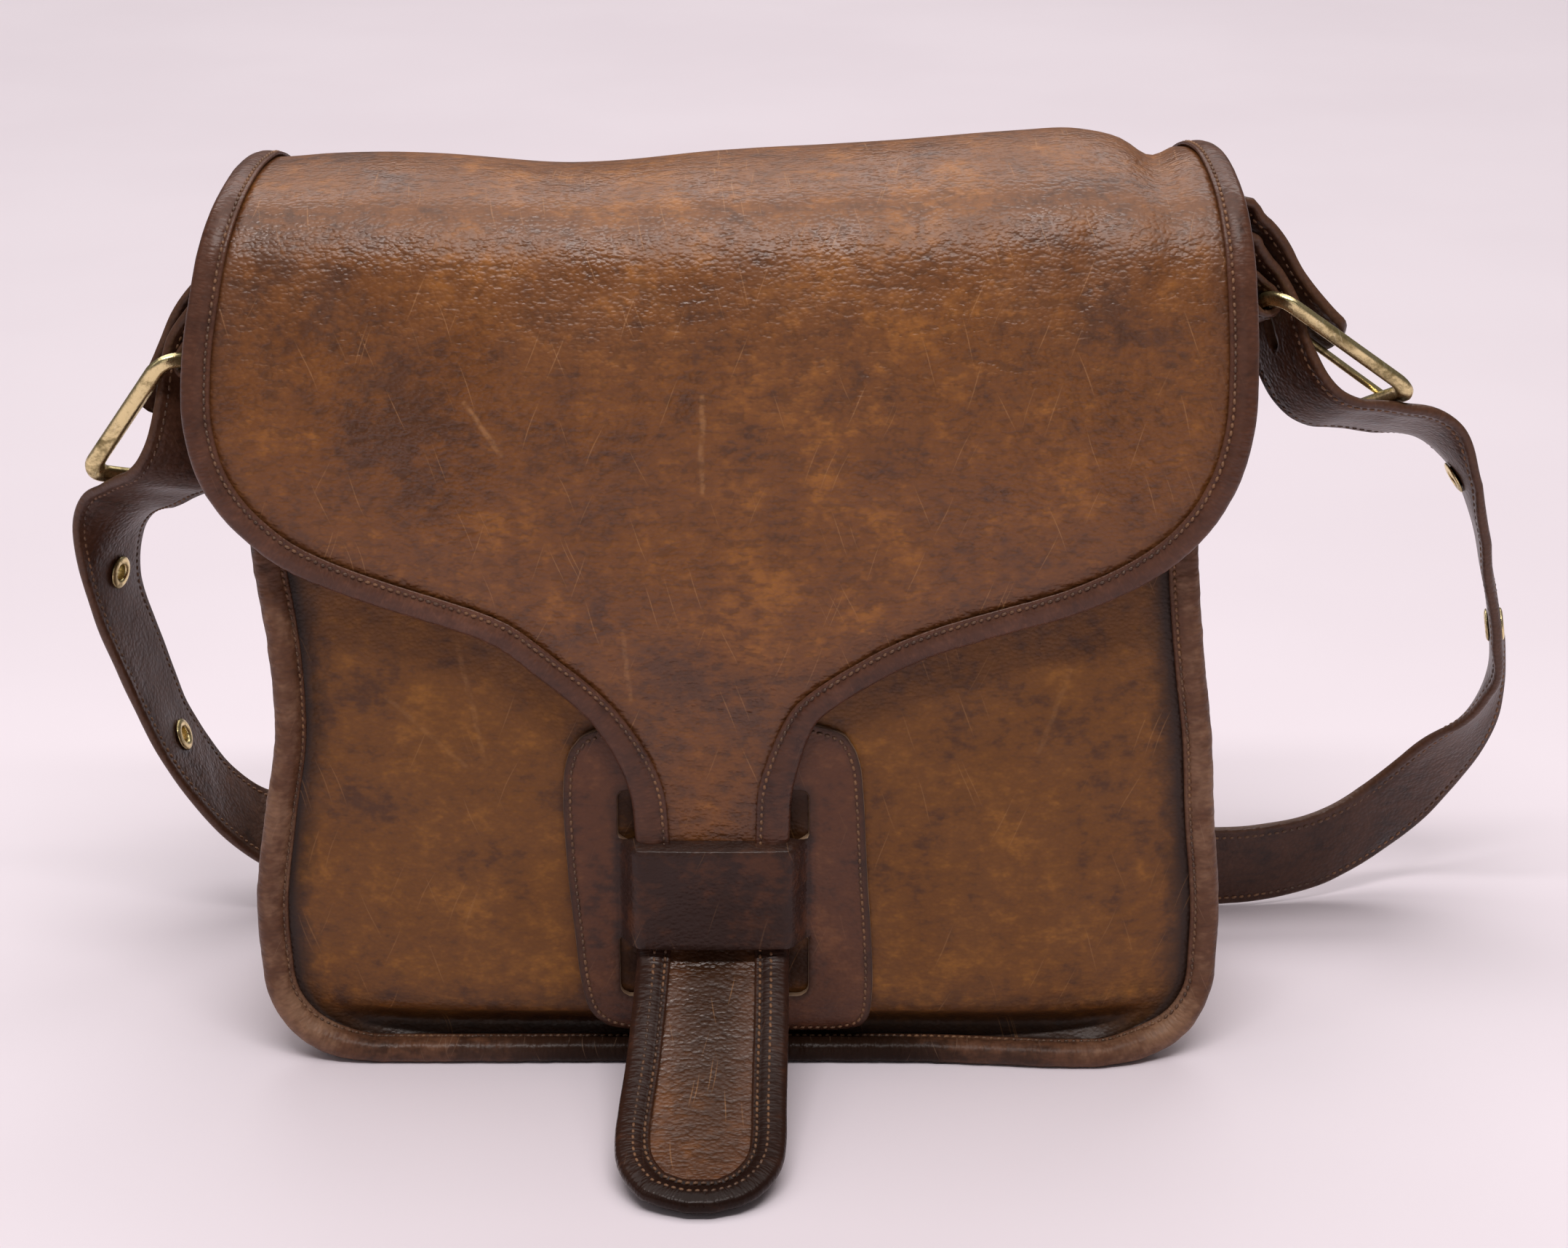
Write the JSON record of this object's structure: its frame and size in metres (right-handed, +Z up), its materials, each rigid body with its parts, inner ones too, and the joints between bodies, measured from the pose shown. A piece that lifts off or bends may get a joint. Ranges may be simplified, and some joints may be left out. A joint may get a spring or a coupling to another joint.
{
  "type": "messenger bag",
  "caption": "Soft leather messenger bag standing upright, its wide flap ending in a tongue held under a keeper strip, with a buckled shoulder strap passing behind it.",
  "frame": {"origin": "on the ground, on the flat of the bottom, near the middle of the body's width and depth", "axes": "+X from the left side of the picture to the right, -Y towards the viewer on the flap's side, +Z up"},
  "size_m": [0.4326, 0.2157, 0.2592],
  "materials": {
    "body_leather": "worn, waxed, mottled brown with pale scratches",
    "binding_leather": "dark, glossy, crinkled",
    "patch_leather": "dark reddish brown with pale cut edges",
    "strap_leather": "very dark brown, creased, worn brown at its edges",
    "brass": "rubbed, slightly tarnished"
  },
  "bodies": {
    "root": {"front_panel": "body_leather", "gusset": "body_leather", "back_flap": "body_leather", "front_binding": "binding_leather", "back_flap_binding": "binding_leather", "keeper_patch": "patch_leather", "tab_left": "strap_leather", "tab_right": "strap_leather", "shoulder_strap": "strap_leather", "buckle_left": "brass", "buckle_right": "brass", "prong_left": "brass", "prong_right": "brass", "eyelet_left_1": "brass", "eyelet_left_2": "brass", "eyelet_right_1": "brass", "eyelet_right_2": "brass"}
  },
  "joints": []
}
